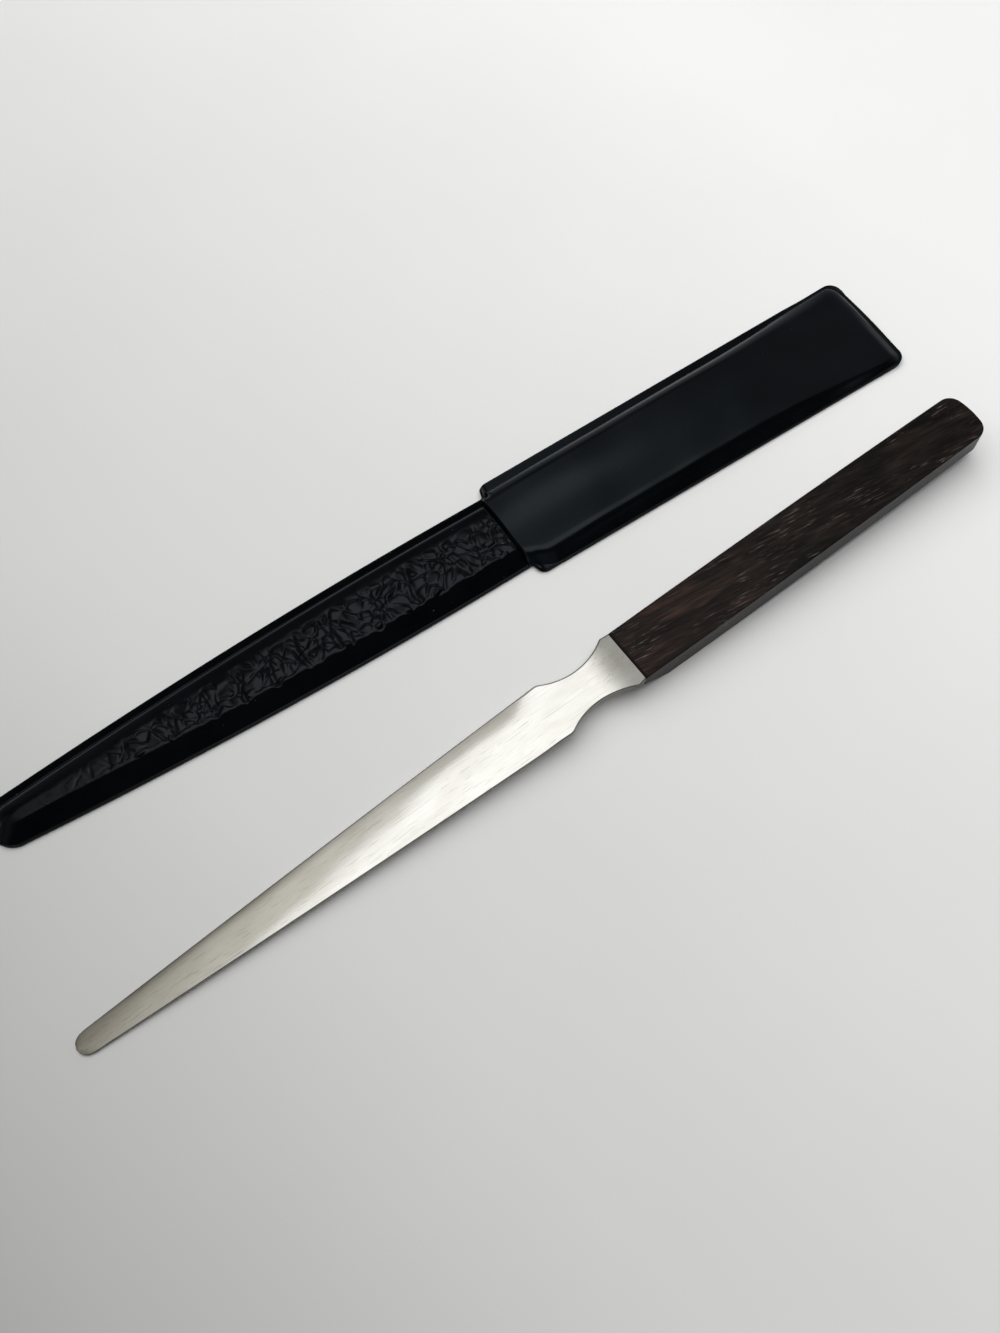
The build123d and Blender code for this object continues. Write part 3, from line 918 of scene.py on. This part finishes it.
def makeEmboss():
    e = emboss
    bodyFrom = sheath["tipX"] + sheath["tipRound"]
    xs = np.concatenate([tipEnd[:-1], np.arange(bodyFrom, e["endX"], e["grid"])])
    inner = np.arange(e["gridFrom"], sheath["junctionWidth"] / 2, e["grid"])
    lines = sorted(set(edgeLines) | set(np.round(inner, 3).tolist()))
    half = bladePartHalf(xs) - roundOff(bodyFrom - xs, sheath["tipRound"])
    x, y = sheetGrid(xs, half, lines)
    t, dome = embossDome(x, y)
    farFade = ease(e["plainFar"], e["plainFar"] + e["plainFade"], t)
    border = addWaves(e["border"] + e["borderTip"] * (1 - ease(*e["borderRun"], x)), x, y, e["borderWaves"])
    nearFade = ease(border - e["borderSoft"], border + e["borderSoft"], t)
    fade = np.where(y > 0, farFade, nearFade)
    tipFrom, tipFull = e["tipFade"]
    fade = fade * ease(sheath["tipX"] + tipFrom, sheath["tipX"] + tipFull, x) * (1 - ease(*e["lapFade"], x))
    relief = crocodileRelief(x, y) * fade
    groove = e["lapGroove"] * ease(*e["lapGrooveRun"], x) * dome / e["domeHeight"]
    edge = half[:, None] - np.abs(y)
    z = sheath["rimTop"] + dome + relief - groove + rimProfile(edge, y, *e["turnUp"])
    points = np.stack([x, drawIn(y), z], -1)
    piece = makePiece(
        "vinylBladeFront", points, quads(*x.shape), crocodileVinyl(), "sheath"
    )
    thicken(piece, e["coverThick"], edgeFinish)
    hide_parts("sheath_blade_cover")


makeEmboss()
print("blade front embossed")

# Smooth padded front over the handle: a card between cover and lining, sunk towards the mouth
pad = {
    "coverThick": 0.5,
    "cardThick": 0.5,
    "turnUp": (1.7, 0.42),
    "curlRun": (8.9, 9.6),
    "curlLoss": 0.8,
    "curlLossRun": (92, 104),
    # its sides: a long slope near, a short steep one far
    "nearFoot": 0.35,
    "nearRun": 4.25,
    "nearRound": 0.6,
    "nearPower": 0.8,
    "farFoot": 1.8,
    "farNarrow": 1.0,
    "farNarrowRun": (70, 100),
    "farRun": 3.4,
    "farRise": 0.05,
    "farRiseRun": (6.2, 8.8),
    "farRiseLoss": (60, 98),
    "sideRun": (-4, 4),
    "sideFrom": 14,
    "cornerReach": 0.35,
    # clipped corners, notch and lap
    "clipFrom": (7.64, 8.6),
    "clipRun": 3.6,
    "clipInward": (0.484, 0.875),
    "clipFarOut": 3.0,
    "clipFarRun": 2.2,
    "notchFoot": 0.4,
    "notchRun": 1.6,
    "lapRun": 0.45,
    "lapRise": 1.2,
    "lapLift": 0.5,
    "lapLiftRun": (10, 11.5),
    "pucker": 0.1,
    "puckerAt": (9.9, 8.8),
    "puckerSpread": 0.36,
    # mouth
    "mouthIn": 1.0,
    "mouthRun": 3.6,
    "mouthCorner": 0.7,
    "mouthLift": 0.7,
    "mouthLiftRun": (97, 105),
    "mouthLiftShares": (0.55, 0.45),
    "mouthLiftIn": (0, 9),
    "mouthOut": 0.35,
    "mouthOutFrom": 100,
    # top
    "lapTop": 3.0,
    "edgeTop": 3.6,
    "edgeTopRun": (8, 32),
    "mouthTop": 1.9,
    "mouthTopRun": (68, 106),
    "crown": 0.5,
    "crownRun": (25, 60),
    "billow": (0.04, 0.19, 0.6, 0.31),  # size, wave along x and its phase, wave along y
    "ripple": ((0.025, 0.47, -0.22, 0),),
    "trough": 0.11,
    "troughWave": (0.46, -0.57),
    "lean": 0.02,
    "troughLoss": 0.75,
    "troughLossRun": (30, 55),
    # lining, and what its flat sheet allows for the pad
    "liningIn": 0.9,
    "liningUnder": 0.03,
    "liningLift": 0.02,
    "liningPlay": 0.04,
    "flatRise": 5,
    "flatStretch": 1.12,
}


def padLevel(x):
    p = pad
    level = p["lapTop"] + (p["edgeTop"] - p["lapTop"]) * ease(*p["edgeTopRun"], x)
    return level + (p["mouthTop"] - p["edgeTop"]) * ease(*p["mouthTopRun"], x)


def padShare(x, y, inset):
    # how far up its edge a point of the pad is: 0 at the foot, 1 on top
    p = pad
    far = y > 0
    sunk = padLevel(np.maximum(x, p["edgeTopRun"][1]))
    lowered = (sunk - sheath["rimTop"]) / (p["edgeTop"] - sheath["rimTop"])
    run = np.where(far, p["farRun"], p["nearRun"] * lowered ** p["nearPower"])
    foot = np.where(far, p["farFoot"] - p["farNarrow"] * ease(*p["farNarrowRun"], x), p["nearFoot"])
    side = outlineHalf(np.maximum(x, p["sideFrom"])) - foot - inset - np.abs(y)
    clipX, clipY = p["clipFrom"]
    inX, inY = p["clipInward"]
    corner = clipY + np.where(far, p["clipFarOut"], 0)
    clip = (x - clipX) * inX + (corner - np.abs(y)) * inY - inset
    clipRun = np.where(far, p["clipFarRun"], p["clipRun"])
    mouth = (sheath["mouthX"] - p["mouthIn"] - x) / p["mouthRun"]
    share = softMin(side / run, clip / clipRun, p["cornerReach"] / 2)
    share = softMin(share, mouth, p["mouthCorner"])
    # the sheet comes down to the weld round the far notch
    past = np.maximum(x - sheath["lapX"] - sheath["shoulderStart"], 0)
    inside = sheath["junctionWidth"] / 2 - np.abs(y)
    notch = np.where(inside > 0, np.hypot(past, inside), past) - p["notchFoot"] - inset
    return np.clip(np.where(far, softMin(share, notch / p["notchRun"], p["cornerReach"]), share), 0, 1)


def padTop(x, y, inset=0.0):
    p = pad
    share = padShare(x, y, inset)
    slope, drop = bentSlope(share, p["nearRound"]), np.sqrt(1 - (1 - share) ** 2)
    rise = slope + (drop - slope) * ease(*p["sideRun"], y)
    across = np.abs(y) / handlePartHalf(x)
    size, alongX, phase, alongY = p["billow"]
    soft = addWaves(size * np.sin(alongX * x + phase) * np.cos(alongY * y), x, y, p["ripple"])
    rate, shift = p["troughWave"]
    hollow = p["trough"] * np.sin(rate * y + shift) - p["lean"] * y
    soft = soft + hollow * (1 - p["troughLoss"] * ease(*p["troughLossRun"], x))
    lapEnd = p["lapRise"] * (1 - np.clip((x - sheath["lapEdge"]) / p["lapRun"], 0, 1)) ** 2
    soft = soft + p["farRise"] * ease(*p["farRiseRun"], y) * (1 - ease(*p["farRiseLoss"], x))
    plateau = padLevel(x) + p["crown"] * (1 - across**2) * ease(*p["crownRun"], x) + soft - lapEnd
    puckerX, puckerY = p["puckerAt"]
    fromPucker = (x - puckerX) ** 2 + (np.abs(y) - puckerY) ** 2
    plateau = plateau + p["pucker"] * np.exp(-(fromPucker / p["puckerSpread"]))
    corner, middle = p["mouthLiftShares"]
    inward = corner + middle * ease(*p["mouthLiftIn"], outlineHalf(x) - np.abs(y))
    mouth = p["mouthLift"] * ease(*p["mouthLiftRun"], x) * inward
    base = sheath["rimTop"] + mouth + p["lapLift"] * (1 - ease(*p["lapLiftRun"], x))
    return base + (plateau - base) * rise, rise


def padGrid():
    s = sheath
    flare = s["lapX"] + s["shoulderStart"] + s["shoulderRun"]
    # finest steps at the lap, then round the clipped corners
    lapEnd, clipEnd = s["lapEdge"] + 0.5, flare + 8
    xs = np.concatenate(
        [
            np.arange(s["lapEdge"], lapEnd, 0.05),
            np.arange(lapEnd, clipEnd, 0.12),
            np.arange(clipEnd, s["mouthX"] - s["mouthRound"] - 0.3, 0.7),
            mouthEnd,
        ]
    )
    lines = [line for line in edgeLines if line < 1.7]
    lines += [1.79, 1.82, 1.86, 1.92, 2.0, 2.1, 2.2, 2.33, 2.46, 2.6, 2.76, 2.9, 3.05, 3.2, 3.4, 3.6]
    lines += [3.8, 4.0, 4.2, 4.4, 4.6, 4.9, 5.2, 5.6, 6.0, 6.5, 7.3, 8.2, 9.2, 10.2, 11.2, 12.3]
    return sheetGrid(xs, outlineHalf(xs), lines)


def makePad():
    s, p = sheath, pad
    x, y = padGrid()
    z, rise = padTop(x, y)
    curl = rimProfile(outlineHalf(x) - np.abs(y), y, *p["turnUp"]) * (1 - rise)
    z = z + curl * ease(*p["curlRun"], x) * (1 - p["curlLoss"] * ease(*p["curlLossRun"], x))
    drawnX, drawnY = x + p["mouthOut"] * ease(p["mouthOutFrom"], s["mouthX"], x), drawIn(y)
    points = np.stack([drawnX, drawnY, z], -1)
    piece = makePiece("vinylHandlePad", points, quads(*x.shape), smoothFinish, "sheath")
    thicken(piece, p["coverThick"], edgeFinish)
    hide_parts("sheath_handle_cover", "sheath_handle_board")
    top, rise = padTop(x, y, p["liningIn"])
    lowest = s["backThick"] + s["liningThick"] + p["liningLift"]
    under = np.maximum(top - p["coverThick"] - p["liningUnder"] - p["cardThick"] * rise, lowest)
    inner = np.stack([drawnX, drawnY, under], -1)[:, 1:-1]
    lining = makePiece(
        "vinylPadLining", inner, quads(*inner.shape[:2]), liningFinish, "sheath"
    )
    thicken(lining, s["liningThick"] - p["liningPlay"])
    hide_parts("sheath_handle_lining")


makePad()
print("handle pad welded")

# Studio: pale paper underneath, one soft card overhead on the far side, a roof light in a dim ceiling, and
# walls that are dark on the near side, where the camera stands
studio = {
    "floorSize": 6.0,  # metres
    "softCard": {"place": (-200.0, 450.0, 1500.0), "size": 2600.0, "power": 32.5},
    # where and how far the paper greys with painted shade towards the left front corner
    "paintedShadeSlant": 0.16,
    "paintedShadeRun": (-160, 140),
    "horizon": 0.05,
    "roofLevel": 1.35,
    "roofLean": -0.25,
    "roofSkew": 0.4,
    # soft edges, sideways or away from the camera as shares of the height: start, end, and strength at each
    "roofLeft": (-0.095, -0.055, 0, 1),
    "roofRight": (0.34, 0.56, 1, 0),
    "roofNear": (-0.48, -0.1, 0, 1),
    "roofFar": (0.53, 0.63, 1, 0),
    "ceilingNear": (-0.5, -0.1, 0.05, 1),
    "ceilingFar": (0.55, 1.1, 1, 0.15),
    # and by direction alone
    "ceilingFrom": (0.5, 0.66, 0, 1),
    "wallNear": (-0.35, 0.1, 0.04, 1),
    "wallLeft": (0.0, 0.3, 0.5, 1.25),
    "shadeLeft": (0.0, 0.22, 1, 0),
    "shadeRight": (0.56, 0.68, 0, 1),
}


# Seamless paper, matt: pale grey with a very faint mottle, and painted shade that greys it towards the left
# front corner
def seamlessPaper():
    material, tree = startMaterial("seamlessPaper", Roughness=0.85)
    mottle = addNode(tree, "TexNoise", {"Vector": sheathMap(tree, 60, 60, 60), "Scale": 1, "Detail": 3})
    tone = addNode(tree, "ValToRGB", {"Fac": mottle.outputs["Fac"]}, [(0.3, "#fcfcfc"), (0.7, "#ffffff")])
    place = addNode(tree, "SeparateXYZ", {"Vector": sheathMap(tree, 1, 1, 1)})
    # painted shade: the paper darkens towards the left front corner
    corner = addNode(
        tree,
        "Math",
        {0: place.outputs["Y"], 1: studio["paintedShadeSlant"], 2: place.outputs["X"]},
        operation="MULTIPLY_ADD",
    )
    start, end = studio["paintedShadeRun"]
    spread = addNode(
        tree, "MapRange", {"Value": corner.outputs["Value"], "From Min": start, "From Max": end}
    )
    paper = addNode(
        tree,
        "ValToRGB",
        {"Fac": spread.outputs["Result"]},
        [(0.0, "#a9a9a8"), (1.0, "#fdfdfd"), (0.3, "#d3d3d2")],
    )
    mixed = addNode(
        tree,
        "Mix",
        {0: 1.0, 6: paper.outputs["Color"], 7: tone.outputs["Color"]},
        data_type="RGBA",
        blend_type="MULTIPLY",
    )
    return finishMaterial(material, Base_Color=mixed.outputs[2])


def addLamp(name, place, size, power):
    data = bpy.data.lights.new(name, "AREA")
    data.shape = "SQUARE"
    data.size = size * toMetres
    data.energy = power
    lamp = bpy.data.objects.new(name, data)
    bpy.context.scene.collection.objects.link(lamp)
    lamp.location = Vector(place) * toMetres
    lamp.visible_glossy = False  # fill light, kept out of the steel and the vinyl
    lamp.rotation_euler = (-lamp.location).to_track_quat("-Z", "Y").to_euler()


def makeStudio():
    half = studio["floorSize"] / 2
    mesh = bpy.data.meshes.new("paperFloor")
    corners = [(-half, -half, 0), (half, -half, 0), (half, half, 0), (-half, half, 0)]
    mesh.from_pydata(corners, [], [(0, 1, 2, 3)])
    mesh.materials.append(seamlessPaper())
    floor = bpy.data.objects.new("paperFloor", mesh)
    bpy.context.scene.collection.objects.link(floor)
    addLamp("softCard", **studio["softCard"])


def lightRoom():
    s = studio
    world = bpy.data.worlds.new("room")
    bpy.context.scene.world = world
    world.use_nodes = True
    tree = world.node_tree
    axes = addNode(tree, "SeparateXYZ", {"Vector": addNode(tree, "TexCoord").outputs["Generated"]})
    up = addNode(tree, "Math", {0: axes.outputs["Z"], 1: s["horizon"]}, operation="MAXIMUM")
    across, away = (
        addNode(tree, "Math", {0: axes.outputs[key], 1: up.outputs["Value"]}, operation="DIVIDE").outputs[0]
        for key in "XY"
    )
    lean, farLine = (
        addNode(tree, "Math", dict(enumerate(terms)), operation="MULTIPLY_ADD").outputs[0]
        for terms in ((away, s["roofLean"], across), (across, s["roofSkew"], away))
    )
    edges = {
        "roofLeft": lean,
        "roofRight": across,
        "roofNear": away,
        "roofFar": farLine,
        "ceilingNear": away,
        "ceilingFar": away,
        "ceilingFrom": axes.outputs["Z"],
        "wallNear": axes.outputs["Y"],
        "wallLeft": axes.outputs["X"],
        "shadeLeft": axes.outputs["X"],
        "shadeRight": axes.outputs["X"],
    }
    soft = {}
    for name, place in edges.items():
        start, end, least, most = s[name]
        soft[name] = addNode(
            tree,
            "MapRange",
            {"Value": place, "From Min": start, "From Max": end, "To Min": least, "To Max": most},
            interpolation_type="SMOOTHSTEP",
        ).outputs["Result"]
    roof = s["roofLevel"]
    for name in ("roofLeft", "roofRight", "roofNear", "roofFar"):
        roof = addNode(tree, "Math", {0: roof, 1: soft[name]}, operation="MULTIPLY").outputs["Value"]
    # the ceiling is brightest beside the roof light, and warm
    spread = addNode(tree, "MapRange", {"Value": across, "From Min": -0.4, "From Max": 0.6})
    ceiling = addNode(
        tree,
        "ValToRGB",
        {"Fac": spread.outputs["Result"]},
        [(0.1, "#7a7770"), (1.0, "#7c7b79"), (0.2, "#b8b5ac")]
        + [(0.32, "#dcdad4"), (0.6, "#cfcdc8"), (0.85, "#86847f")],
    ).outputs["Color"]
    # walls are pale near the floor and dim towards the ceiling
    walls = addNode(
        tree,
        "ValToRGB",
        {"Fac": axes.outputs["Z"]},
        [(0.26, "#a4a5a7"), (0.6, "#5a5c60"), (0.45, "#8a8c90")],
    ).outputs["Color"]
    for name in ("ceilingNear", "ceilingFar"):
        dimmed = {0: ceiling, "Scale": soft[name]}
        ceiling = addNode(tree, "VectorMath", dimmed, operation="SCALE").outputs[0]
    overhead = addNode(tree, "VectorMath", {0: ceiling, 1: roof}, operation="MAXIMUM")
    # the near wall is in shade behind the camera, but not to the far left and right
    shade = soft["wallNear"]
    for name in ("shadeLeft", "shadeRight"):
        shade = addNode(tree, "Math", {0: shade, 1: soft[name]}, operation="MAXIMUM").outputs["Value"]
    for scale in (shade, soft["wallLeft"]):
        walls = addNode(tree, "VectorMath", {0: walls, "Scale": scale}, operation="SCALE").outputs[0]
    room = addNode(
        tree,
        "Mix",
        {0: soft["ceilingFrom"], 4: walls, 5: overhead.outputs["Vector"]},
        data_type="VECTOR",
    )
    # a pale line of wall along the floor on every side
    skirting = addNode(
        tree, "ValToRGB", {"Fac": axes.outputs["Z"]}, [(0.14, "#c0c1c2"), (0.26, "#000000")]
    )
    whole = addNode(
        tree, "VectorMath", {0: room.outputs[1], 1: skirting.outputs["Color"]}, operation="MAXIMUM"
    )
    tree.links.new(whole.outputs["Vector"], tree.nodes["Background"].inputs["Color"])


makeStudio()
lightRoom()
bpy.context.scene.view_settings.view_transform = "Standard"
print("studio lit")
